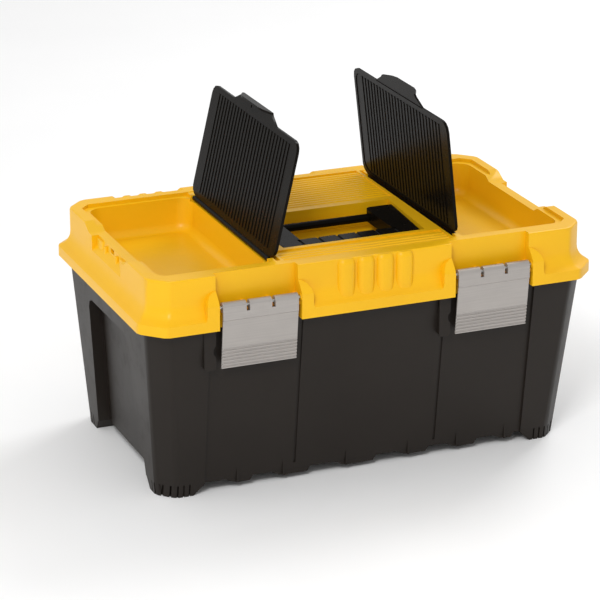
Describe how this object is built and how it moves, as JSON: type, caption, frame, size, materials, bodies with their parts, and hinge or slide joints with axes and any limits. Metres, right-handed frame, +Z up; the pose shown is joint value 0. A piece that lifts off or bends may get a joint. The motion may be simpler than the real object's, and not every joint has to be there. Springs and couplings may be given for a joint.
{
  "type": "tool box",
  "caption": "Portable plastic tool box with a hinged lid, folding carry handle, metal front latches, covered organiser bins in the lid and a lift-out tray with dividers inside.",
  "frame": {"origin": "on the floor, under the middle of the box", "axes": "+X along the box to the right seen from its latches, +Y from the latches to the lid's hinge, +Z up"},
  "size_m": [0.554, 0.336, 0.4143],
  "materials": {
    "tub_black": "fine matte texture",
    "lid_yellow": "satin moulded plastic",
    "cover_black": "glossy, ribbed",
    "gloss_black": "glossy",
    "latch_metal": "satin sheet",
    "pin_steel": "drawn wire",
    "tray_yellow": "satin moulded plastic",
    "tray_black": "fine matte texture"
  },
  "bodies": {
    "base": {"base_shell": "tub_black", "lid_hinge_pin_left": "pin_steel", "lid_hinge_pin_right": "pin_steel"},
    "lid": {"lid_shell": "lid_yellow", "handle_axle": "gloss_black", "latch_pin_left": "pin_steel", "latch_pin_right": "pin_steel"},
    "handle": {"handle": "gloss_black"},
    "latch_left": {"latch_left": "latch_metal"},
    "latch_right": {"latch_right": "latch_metal"},
    "cover_left": {"cover_left": "cover_black"},
    "cover_right": {"cover_right": "cover_black"},
    "tray": {"tray_body": "tray_yellow", "tray_divider_1": "tray_black", "tray_divider_2": "tray_black", "tray_divider_3": "tray_black", "tray_divider_4": "tray_black"},
    "tray_handle": {"tray_handle": "tray_black"}
  },
  "joints": [
    {"name": "lid_hinge", "type": "hinge", "parent": "base", "child": "lid", "pos_m": [0, 0.1635, 0.206], "axis": [-1, 0, 0], "range_deg": [0, 100]},
    {"name": "handle_pivot", "type": "hinge", "parent": "lid", "child": "handle", "pos_m": [0, -0.002, 0.256], "axis": [-1, 0, 0], "range_deg": [0, 90]},
    {"name": "latch_left_hinge", "type": "hinge", "parent": "lid", "child": "latch_left", "pos_m": [-0.142, -0.1625, 0.233], "axis": [-1, 0, 0], "range_deg": [0, 105]},
    {"name": "latch_right_hinge", "type": "hinge", "parent": "lid", "child": "latch_right", "pos_m": [0.142, -0.1625, 0.233], "axis": [-1, 0, 0], "range_deg": [0, 105]},
    {"name": "cover_left_hinge", "type": "hinge", "parent": "lid", "child": "cover_left", "pos_m": [-0.1135, 0, 0.2648], "axis": [0, -1, 0], "range_deg": [0, 103]},
    {"name": "cover_right_hinge", "type": "hinge", "parent": "lid", "child": "cover_right", "pos_m": [0.1135, 0, 0.2648], "axis": [0, 1, 0], "range_deg": [0, 96.5]},
    {"name": "tray_lift", "type": "slide", "parent": "base", "child": "tray", "axis": [0, 0, 1], "range_m": [0, 0.02]},
    {"name": "tray_handle_pivot", "type": "hinge", "parent": "tray", "child": "tray_handle", "pos_m": [0, 0, 0.177], "axis": [-1, 0, 0], "range_deg": [0, 90]}
  ]
}
